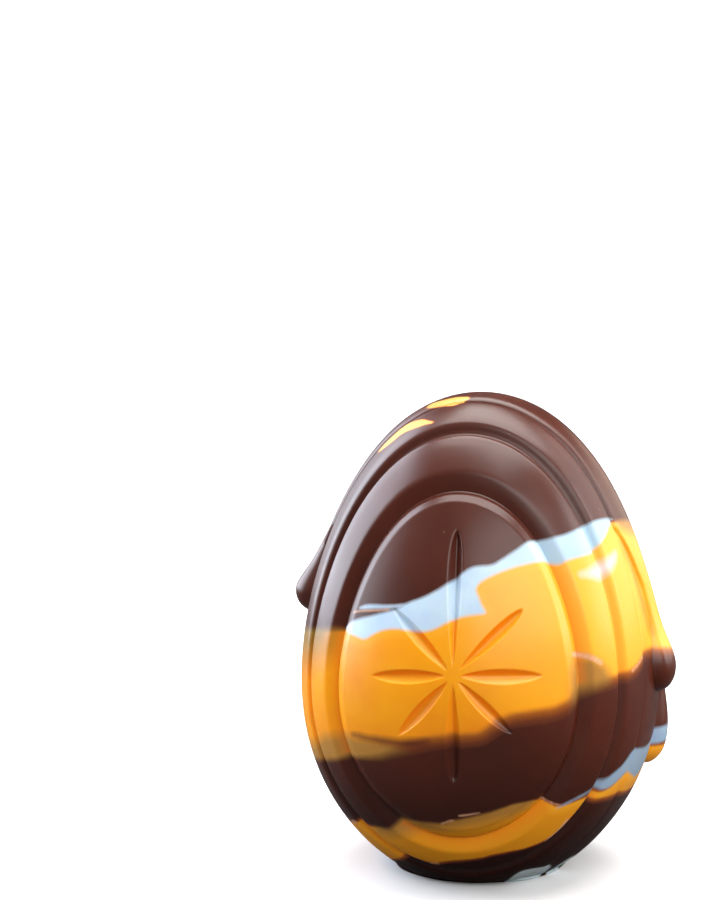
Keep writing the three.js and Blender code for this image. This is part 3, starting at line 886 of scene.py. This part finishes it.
def new_group(name, inputs, outputs):
    """Node group with (name, kind, default) inputs and (name, kind) outputs."""
    group = bpy.data.node_groups.new(name, "ShaderNodeTree")
    for title, kind, default in inputs:
        socket = group.interface.new_socket(title, in_out="INPUT", socket_type=kind)
        if default is not None:
            socket.default_value = default
    for title, kind in outputs:
        group.interface.new_socket(title, in_out="OUTPUT", socket_type=kind)
    return group, group.nodes.new("NodeGroupInput"), group.nodes.new("NodeGroupOutput")


def levels(tree, source, low_value, high_value, kind="SMOOTHSTEP"):
    """Rise from 0 to 1 while the source goes from the low value to the high one."""
    rise = node(tree, "ShaderNodeMapRange", interpolation_type=kind)
    rise.inputs["From Min"].default_value = low_value
    rise.inputs["From Max"].default_value = high_value
    wire(tree, (source, rise.inputs["Value"]))
    return rise.outputs["Result"]


def scaled(tree, value, factor, added=0.0):
    """The value times a factor, plus something added. Each is a socket or a number."""
    made = node(tree, "ShaderNodeMath", operation="MULTIPLY_ADD")
    for place, given in zip(made.inputs, (value, factor, added)):
        if isinstance(given, bpy.types.NodeSocket):
            wire(tree, (given, place))
        else:
            place.default_value = given
    return made.outputs[0]


def noise(tree, place, scale, detail, roughness=0.5):
    """Noise between 0 and 1, at a place in metres."""
    made = node(tree, "ShaderNodeTexNoise", Scale=scale, Detail=detail, Roughness=roughness)
    wire(tree, (place, made.inputs["Vector"]))
    return made.outputs["Fac"]


print("helpers:", [f.__name__ for f in (node, wire, new_group, levels, scaled, noise)])

# %% [markdown]
# ## Poured edges
# The distances on the mesh are smooth, so an edge cut straight from them would look drawn. Real
# chocolate creeps: its edge wanders by a few tenths of a millimetre. This node group adds that wander
# as noise, and then turns the distance into a coverage between 0 and 1. Each pour in each material
# places the same group with its own softness. The distances could be cut by a colour ramp as well, but
# a ramp has fixed stops, and the softness of an orange edge changes from place to place.

# %% Node group: edge of a pour
QUICK_SHARE = 0.22        # strength of the small waves beside the large ones
NOISE_MIDDLE = 0.61       # what the two come to on average
pour_edge, g_in, g_out = new_group(
    "pour_edge",
    (("Place", "NodeSocketVector", None), ("Reach", "NodeSocketFloat", 0.0),
     ("Softness", "NodeSocketFloat", 0.4), ("Wander", "NodeSocketFloat", 0.5)),
    (("Coverage", "NodeSocketFloat"),))
given = g_in.outputs
slow = noise(pour_edge, given["Place"], 260.0, 3.0, 0.6)
quick = noise(pour_edge, given["Place"], 1500.0, 1.0)
waves = scaled(pour_edge, scaled(pour_edge, quick, QUICK_SHARE, slow), 1.0, -NOISE_MIDDLE)
edge = node(pour_edge, "ShaderNodeMapRange")
wire(pour_edge,
     (scaled(pour_edge, waves, given["Wander"], given["Reach"]), edge.inputs["Value"]),
     (scaled(pour_edge, given["Softness"], -1.0), edge.inputs["From Min"]),
     (given["Softness"], edge.inputs["From Max"]),
     (edge.outputs["Result"], g_out.inputs["Coverage"]))
print("group:", pour_edge.name)

# %% [markdown]
# ## Skin of moulded chocolate
# Chocolate that leaves a polished mould is satin-gloss, and never quite even. There is a faint grain,
# some pin-head specks of sugar and air, and patches where the gloss is duller. The body and the icing
# share this as one group, which puts out a height for the bump, a roughness and a mask of the specks.

# %% Node group: chocolate skin
SPECK_EDGE = (0.075, 0.03)            # distance from a cell's middle, so a speck is small in its cell
SPECK_PLACES = (0.60, 0.66)           # only where a broad noise is as high as this
SPECK_RISE = 0.9                      # how far a speck stands out, beside the grain
GLOSS_SPREAD = (0.35, 0.68)           # noise at which the gloss is brightest, and dullest
skin, g_in, g_out = new_group(
    "chocolate_skin",
    (("Place", "NodeSocketVector", None), ("Gloss Low", "NodeSocketFloat", 0.3),
     ("Gloss High", "NodeSocketFloat", 0.4)),
    (("Height", "NodeSocketFloat"), ("Roughness", "NodeSocketFloat"), ("Specks", "NodeSocketFloat")))
given = g_in.outputs
cells = node(skin, "ShaderNodeTexVoronoi", Scale=260.0, Randomness=1.0)
wire(skin, (given["Place"], cells.inputs["Vector"]))
few = levels(skin, noise(skin, given["Place"], 120.0, 0.0), *SPECK_PLACES)
specks = scaled(skin, levels(skin, cells.outputs["Distance"], *SPECK_EDGE), few)
grain = noise(skin, given["Place"], 2600.0, 2.0, 0.55)
gloss = node(skin, "ShaderNodeMapRange")
gloss.inputs["From Min"].default_value, gloss.inputs["From Max"].default_value = GLOSS_SPREAD
wire(skin,
     (noise(skin, given["Place"], 75.0, 4.0, 0.6), gloss.inputs["Value"]),
     (given["Gloss Low"], gloss.inputs["To Min"]), (given["Gloss High"], gloss.inputs["To Max"]),
     (gloss.outputs["Result"], g_out.inputs["Roughness"]),
     (scaled(skin, specks, SPECK_RISE, grain), g_out.inputs["Height"]),
     (specks, g_out.inputs["Specks"]))
print("group:", skin.name)

# %% [markdown]
# ## Colour of the three chocolates
# Each chocolate has a few tones, and some are painted light and shade. Brown is darkest near the
# foot, which stands in the egg's own shade: painted shade. Orange is darker low down, painted shade
# as well, and yellower towards the upper right, painted light from that side. It is also yellower
# beside white, and is palest in the two spills at the top. Where it is as thin as a film it is ochre,
# and in the dull places olive. Beside the icing and in the grooves and rays it is a deeper orange:
# painted shade, which stands in for the shade and the light caught in those hollows. White is a cool
# blue white. It is duller towards the upper right, painted shade that holds back the strong light
# there, and darker lower down, painted shade, and brighter again by the foot, painted light in the
# foot's shade. It turns pinkish where it has run into the orange. All this could be painted by hand
# on the mesh. Colours that depend on the place and on the kept distances were chosen, as they stay
# sharp from near by and can be changed in one line.

# %% Tones
def linear(red, green, blue):
    """Colour given as 0 to 255 on a screen, as the shader wants it."""
    def one(c):
        c /= 255
        return c / 12.92 if c <= 0.04045 else ((c + 0.055) / 1.055) ** 2.4
    return (one(red), one(green), one(blue), 1.0)


BROWN_WARM, BROWN_DEEP, BROWN_LOW = linear(80, 31, 16), linear(68, 25, 12), linear(42, 13, 7)
ORANGE_BRIGHT, ORANGE_AMBER = linear(255, 166, 12), linear(242, 143, 8)
# painted shade: orange low down, and a deeper orange in grooves, rays and beside the icing
ORANGE_SHADED_LOW, ORANGE_SHADE_HOLLOW = linear(234, 152, 18), linear(255, 134, 0)
YELLOW, YELLOW_PALE = linear(253, 182, 48), linear(226, 164, 82)
OCHRE, OLIVE = linear(180, 126, 52), linear(138, 110, 42)
THROUGH = (               # coverage, and the colour of orange that thins out over brown
    (0.17, linear(97, 45, 23)), (0.30, linear(112, 52, 21)), (0.43, linear(133, 67, 22)),
    (0.57, linear(158, 84, 21)), (0.72, linear(192, 110, 26)),
)
WHITE_COOL, WHITE_DULL = linear(200, 221, 238), linear(184, 208, 231)
# of these, the tone by the foot is painted light, brightening white in the foot's shade
WHITE_MILKY, WHITE_LIT_FOOT = linear(232, 216, 222), linear(232, 250, 255)
# both are painted shade: white lower down, and white under the strong light on the right
WHITE_SHADE, WHITE_SHADED_RIGHT = linear(148, 170, 192), linear(170, 198, 216)
TRAIL_PINK, SMEAR, SPECK = linear(240, 180, 142), linear(104, 46, 22), linear(150, 108, 84)
# heights in metres between which a tone gives way to the next one: the low tones of brown, orange
# and white are painted shade, and the tone by the foot is painted light
BROWN_RISE, ORANGE_SHADE_RISE, SPILL_RISE = (0.008, 0.042), (0.022, 0.045), (0.104, 0.112)
FOOT_LIGHT_RISE, SHADE_RISE = (0.006, 0.02), (0.045, 0.07)
# the same for the height plus LEAN times the way to the right
LEAN = 1.1
# these paint light on the right: orange yellower there, and white held back by painted shade
YELLOW_LIT_RISE, RIGHT_SHADE_RISE = (0.055, 0.135), (0.09, 0.145)
print("tones of orange over brown:", len(THROUGH))

# %% [markdown]
# Where orange is thick it hides the brown. Towards a soft edge it thins out, and the brown behind it
# shows, first as amber and then as dark caramel. A plain mix of the two would go through a muddy grey
# brown, so the coverage of orange runs through a colour ramp instead. The group lays the chocolates
# over each other in their order: brown, orange, white, and last the smears and trails.

# %% Node group: marbled colours
def mixed(tree, factor, first, second):
    """Mix node for colours. Each argument is a socket or a plain value."""
    made = tree.nodes.new("ShaderNodeMix")
    made.data_type = "RGBA"
    for place, value in ((made.inputs[0], factor), (made.inputs[6], first), (made.inputs[7], second)):
        if isinstance(value, bpy.types.NodeSocket):
            wire(tree, (value, place))
        else:
            place.default_value = value
    return made.outputs[2]


MASKS = ("Orange", "Thin", "Olive", "Amber Shade", "White", "Milky", "Trail", "Dark", "Hollow Shade", "Near White",
         "Specks")
marble, g_in, g_out = new_group(
    "marbled_colours",
    (("Place", "NodeSocketVector", None), *[(mask, "NodeSocketFloat", 0.0) for mask in MASKS]),
    (("Colour", "NodeSocketColor"),))
given = g_in.outputs
place = node(marble, "ShaderNodeSeparateXYZ")
wire(marble, (given["Place"], place.inputs[0]))
height_up = place.outputs["Z"]
lean = scaled(marble, place.outputs["X"], LEAN, height_up)


def cloudy(scale, low_value, high_value):
    """Broad noise, spread out between 0 and 1."""
    return levels(marble, noise(marble, given["Place"], scale, 3.0), low_value, high_value, "LINEAR")


def over(colour, factor, tone):
    """The colour with a tone laid over it, as far as the factor says."""
    return mixed(marble, factor, colour, tone)


def below(colour, span, tone):
    """The colour with a tone under the lower height of the span, fading out up to the upper one."""
    return mixed(marble, levels(marble, height_up, *span), tone, colour)


brown = mixed(marble, cloudy(28.0, 0.35, 0.65), BROWN_WARM, BROWN_DEEP)
brown = over(below(brown, BROWN_RISE, BROWN_LOW), scaled(marble, given["Specks"], 0.6), SPECK)
orange = mixed(marble, cloudy(36.0, 0.38, 0.66), ORANGE_BRIGHT, ORANGE_AMBER)
# painted shade: orange darker low down
orange = below(orange, ORANGE_SHADE_RISE, ORANGE_SHADED_LOW)
# painted light: orange yellower towards the upper right
orange = over(orange, levels(marble, lean, *YELLOW_LIT_RISE), YELLOW)
orange = over(orange, scaled(marble, given["Near White"], 0.55), YELLOW)
orange = over(orange, levels(marble, height_up, *SPILL_RISE), YELLOW_PALE)
orange = over(orange, given["Thin"], OCHRE)
orange = over(orange, scaled(marble, given["Olive"], 0.9), OLIVE)
# painted shade beside the icing
orange = over(orange, scaled(marble, given["Amber Shade"], 0.7), ORANGE_SHADE_HOLLOW)
# painted shade: deeper orange in the grooves and rays
orange = over(orange, given["Hollow Shade"], ORANGE_SHADE_HOLLOW)
ramp = node(marble, "ShaderNodeValToRGB")
ramp.color_ramp.elements[0].position, ramp.color_ramp.elements[0].color = THROUGH[0]
ramp.color_ramp.elements[1].color = ORANGE_AMBER
for position, tone in THROUGH[1:]:
    ramp.color_ramp.elements.new(position).color = tone
wire(marble, (given["Orange"], ramp.inputs["Fac"]))
thinning = over(ramp.outputs["Color"], given["Thin"],
                over(brown, levels(marble, given["Orange"], 0.0, 1.0), OCHRE))
thinning = over(thinning, given["Olive"], over(brown, levels(marble, given["Orange"], 0.0, 0.9), OLIVE))
white = mixed(marble, cloudy(90.0, 0.4, 0.7), WHITE_COOL, WHITE_DULL)
# painted shade: white duller towards the upper right, holding back the strong light there
white = over(white, levels(marble, lean, *RIGHT_SHADE_RISE), WHITE_SHADED_RIGHT)
# painted shade: white darker lower down; painted light: brighter again by the foot, in its shade
white = below(below(white, SHADE_RISE, WHITE_SHADE), FOOT_LIGHT_RISE, WHITE_LIT_FOOT)
colour = over(brown, levels(marble, given["Orange"], 0.0, 0.17), thinning)
colour = over(colour, levels(marble, given["Orange"], 0.62, 1.0), orange)
for mask, share, tone in (
        ("Milky", 0.85, WHITE_MILKY), ("White", 1.0, white), ("Dark", 1.0, SMEAR),
        ("Trail", 1.0, TRAIL_PINK)):
    colour = over(colour, scaled(marble, given[mask], share), tone)
wire(marble, (colour, g_out.inputs["Colour"]))
print("nodes in the colour group:", len(marble.nodes))

# %% [markdown]
# ## The two materials
# Chocolate is cocoa butter with fine solids in it. Light goes a millimetre or two into it, which
# softens the edges of the relief, and the surface has a satin gloss with a thin clearer layer on top. A
# plain diffuse surface with gloss would look like painted wood, so the shader also gets subsurface
# scattering and a coat. These are the same all over, so they are set on the shader itself. The icing is
# the same chocolate, with a little more coat, because it set in air and not against the mould.

# %% Materials of the body and of the icing
# mask, attribute with its distance, half width of its blur and wander of its edge, both in mm
POURS = (
    ("Orange", "orange_reach", None, 0.5), ("White", "white_reach", 0.55, 0.35),
    ("Milky", "milky_reach", 1.3, 0.5), ("Thin", "thin_reach", 1.8, 1.5),
    ("Olive", "olive_reach", 5.5, 1.5), ("Amber Shade", "amber_shade_reach", 1.2, 0.5),
    ("Trail", "trail_reach", 0.45, 0.3), ("Dark", "dark_reach", 1.2, 0.5),
)
HALO = 3.5                # orange is yellower this near to white, in mm
GRAIN_HEIGHT = 0.0001     # height of the grain, in metres, before its strength


def chocolate(name, gloss_low, gloss_high, bump, coat):
    """One chocolate: pours, colours, skin and the shader's own constants."""
    material = bpy.data.materials.new(name)
    material.use_nodes = True
    tree = material.node_tree
    tree.nodes.clear()
    spot = node(tree, "ShaderNodeTexCoord").outputs["Object"]

    def group(kind, **values):
        made = node(tree, "ShaderNodeGroup", node_tree=kind)
        for key, value in values.items():
            made.inputs[key.replace("_", " ")].default_value = value
        wire(tree, (spot, made.inputs["Place"]))
        return made

    def kept(name):
        return node(tree, "ShaderNodeAttribute", attribute_name=name).outputs["Fac"]

    colours = group(marble)
    for pour, field, softness, wander in POURS:
        covering = group(pour_edge, Wander=wander)
        wire(tree, (kept(field), covering.inputs["Reach"]),
             (covering.outputs["Coverage"], colours.inputs[pour]))
        if softness is None:
            wire(tree, (kept("orange_softness"), covering.inputs["Softness"]))
        else:
            covering.inputs["Softness"].default_value = softness
    surface = group(skin, Gloss_Low=gloss_low, Gloss_High=gloss_high)
    relief = node(tree, "ShaderNodeBump", Strength=bump, Distance=GRAIN_HEIGHT)
    shader = node(tree, "ShaderNodeBsdfPrincipled")
    shader.inputs["IOR"].default_value = 1.42
    shader.inputs["Subsurface Weight"].default_value = 0.4
    shader.inputs["Subsurface Radius"].default_value = (1.0, 0.55, 0.2)
    shader.inputs["Subsurface Scale"].default_value = 0.0025
    shader.inputs["Coat Weight"].default_value = coat
    shader.inputs["Coat Roughness"].default_value = 0.22
    output = node(tree, "ShaderNodeOutputMaterial")
    wire(tree,
         (levels(tree, kept("white_reach"), -HALO, 0.0), colours.inputs["Near White"]),
         (kept("painted_hollow_shade"), colours.inputs["Hollow Shade"]),
         (surface.outputs["Specks"], colours.inputs["Specks"]),
         (colours.outputs["Colour"], shader.inputs["Base Color"]),
         (surface.outputs["Roughness"], shader.inputs["Roughness"]),
         (surface.outputs["Height"], relief.inputs["Height"]),
         (relief.outputs["Normal"], shader.inputs["Normal"]),
         (shader.outputs["BSDF"], output.inputs["Surface"]))
    return material


cast = chocolate("marbled_body", 0.30, 0.38, 0.06, 0.12)
for piece in (body, medallion_front, medallion_back):
    piece.data.materials.append(cast)
icing.data.materials.append(chocolate("marbled_icing", 0.30, 0.38, 0.06, 0.2))
print("materials:", [m.name for m in bpy.data.materials])

# %% [markdown]
# ## Table and backdrop
# A pale table that curves up into a backdrop is what a photographer uses for a small product: there is
# no horizon behind the egg. It is one sheet, extruded sideways from a section, and is only a stage.
# A white table would also be mirrored in the dark chocolate and turn its lower half grey. In a studio,
# black cards laid in front of the egg stop that. Here the Light Path node does it: the sheet is pale
# where the camera sees it, dark where gloss mirrors it, and throws up only a little light.

# %% Pale sweep
SWEEP_NEAR, SWEEP_FAR, SWEEP_SIDE, SWEEP_BEND, SWEEP_HIGH = -1.6, 1.1, 2.2, 0.5, 2.2
BEND_STEPS = 16
FLOOR_PALE, FLOOR_DARK = (0.86, 0.86, 0.87, 1), (0.05, 0.05, 0.05, 1)
FLOOR_GLOW = 0.06         # share of its brightness that the floor throws up onto the egg
sweep_line = [(SWEEP_NEAR, 0.0), (SWEEP_FAR - SWEEP_BEND, 0.0)]
for step in range(1, BEND_STEPS + 1):
    a = math.pi / 2 * step / BEND_STEPS
    sweep_line.append(
        (SWEEP_FAR - SWEEP_BEND * (1 - math.sin(a)), SWEEP_BEND * (1 - math.cos(a))))
sweep_line.append((SWEEP_FAR, SWEEP_HIGH))
verts = [(x, y, z) for y, z in sweep_line for x in (-SWEEP_SIDE, SWEEP_SIDE)]
sheet_faces = [(2 * i, 2 * i + 1, 2 * i + 3, 2 * i + 2) for i in range(len(sweep_line) - 1)]
sweep_mesh = bpy.data.meshes.new("pale_sweep")
sweep_mesh.from_pydata(verts, [], sheet_faces)
sweep_mesh.polygons.foreach_set("use_smooth", np.ones(len(sheet_faces), bool))
sweep = bpy.data.objects.new("pale_sweep", sweep_mesh)
bpy.context.collection.objects.link(sweep)
paper = bpy.data.materials.new("pale_paper")
paper.use_nodes = True
paper_shader = paper.node_tree.nodes["Principled BSDF"]
paper_shader.inputs["Roughness"].default_value = 0.9
paper_shader.inputs["Specular IOR Level"].default_value = 0.1
rays = node(paper.node_tree, "ShaderNodeLightPath").outputs
seen = scaled(paper.node_tree, rays["Is Diffuse Ray"], FLOOR_GLOW, rays["Is Camera Ray"])
wire(paper.node_tree,
     (mixed(paper.node_tree, seen, FLOOR_DARK, FLOOR_PALE), paper_shader.inputs["Base Color"]))
sweep.data.materials.append(paper)
print("sweep:", len(verts), "points")

# %% [markdown]
# ## Soft studio light
# Smooth chocolate shows little but what it mirrors, so each soft box is placed for one reflection. The
# top box lights the egg and draws the sheen on the upper slopes. The front box shades the face from the
# right. The left box and the large side box are the grey sheen on the left of the rings. The back and
# right boxes draw the light lines on the right side, and two small ones behind the egg edge its
# outline. A picture of a room could be wrapped round the scene for this, but single boxes can be moved
# one at a time. The world adds a faint bluish fill that is stronger from above.

# %% Lights
MIDDLE = (0, 0, 0.065)


def soft_box(name, place, width, height, watts, colour):
    """A rectangular area light at a place, turned towards the middle of the egg."""
    light = bpy.data.lights.new(name, "AREA")
    light.shape = "RECTANGLE"
    light.size, light.size_y, light.energy, light.color = width, height, watts, colour
    made = bpy.data.objects.new(name, light)
    made.location = place
    made.rotation_euler = (Vector(MIDDLE) - Vector(place)).to_track_quat("-Z", "Y").to_euler()
    made.visible_camera = False
    bpy.context.collection.objects.link(made)


soft_box("top_box", (0.08, 0.17, 1.12), 1.2, 1.0, 24, (1.0, 0.98, 0.95))
soft_box("front_box", (0.62, -0.88, 0.62), 1.4, 0.75, 12, (1.0, 0.99, 0.97))
soft_box("left_box", (-0.95, -0.30, 0.20), 0.42, 0.8, 2.4, (0.94, 0.97, 1.0))
soft_box("side_box", (-0.90, 0.22, 0.42), 0.9, 1.0, 21, (0.80, 0.88, 1.0))
soft_box("back_box", (0.83, 0.56, 0.51), 0.8, 1.0, 6, (1.0, 0.96, 0.94))
soft_box("right_box", (0.92, 0.08, 0.40), 0.26, 0.6, 3.3, (1.0, 0.98, 0.95))
soft_box("left_rim_box", (-0.50, 0.60, 0.20), 0.35, 0.6, 0.9, (0.86, 0.92, 1.0))
soft_box("right_rim_box", (0.30, 0.74, 0.10), 0.35, 0.4, 0.55, (1.0, 0.82, 0.68))

# %% World and view
FILL_HEIGHTS, FILL_STRENGTHS = (-0.1, 0.9), (0.10, 0.32)
world = bpy.data.worlds.new("studio")
world.use_nodes = True
sky = world.node_tree
high = node(sky, "ShaderNodeSeparateXYZ")
fade = node(sky, "ShaderNodeMapRange", interpolation_type="SMOOTHSTEP")
fade.inputs["From Min"].default_value, fade.inputs["From Max"].default_value = FILL_HEIGHTS
fade.inputs["To Min"].default_value, fade.inputs["To Max"].default_value = FILL_STRENGTHS
wire(sky, (node(sky, "ShaderNodeTexCoord").outputs["Generated"], high.inputs[0]),
     (high.outputs["Z"], fade.inputs["Value"]),
     (fade.outputs["Result"], sky.nodes["Background"].inputs["Strength"]))
sky.nodes["Background"].inputs["Color"].default_value = (0.93, 0.96, 1.0, 1)
bpy.context.scene.world = world
bpy.context.scene.view_settings.view_transform = "Standard"
bpy.context.scene.view_settings.look = "None"
print("fill:", FILL_STRENGTHS)

# %% [markdown]
# ## Camera
# A long lens from a little above, and a few degrees round to the right, keeps the egg's outline free of
# distortion. The camera is aimed by turning it, not by shifting the lens.

# %% Camera
CAMERA_PLACE = Vector((0.11796, -0.67315, 0.21371))
FORWARD = Vector((-0.2186, 0.9655, -0.1412)).normalized()
RIGHT = FORWARD.cross(Vector((0, 0, 1))).normalized()
UP = RIGHT.cross(FORWARD)
lens = bpy.data.cameras.new("camera")
lens.lens, lens.sensor_width = 100, 36
camera = bpy.data.objects.new("camera", lens)
turned = Matrix((RIGHT, UP, -FORWARD)).transposed().to_4x4()
camera.matrix_world = Matrix.Translation(CAMERA_PLACE) @ turned
bpy.context.collection.objects.link(camera)
bpy.context.scene.camera = camera
print("camera at:", tuple(round(c, 3) for c in CAMERA_PLACE))
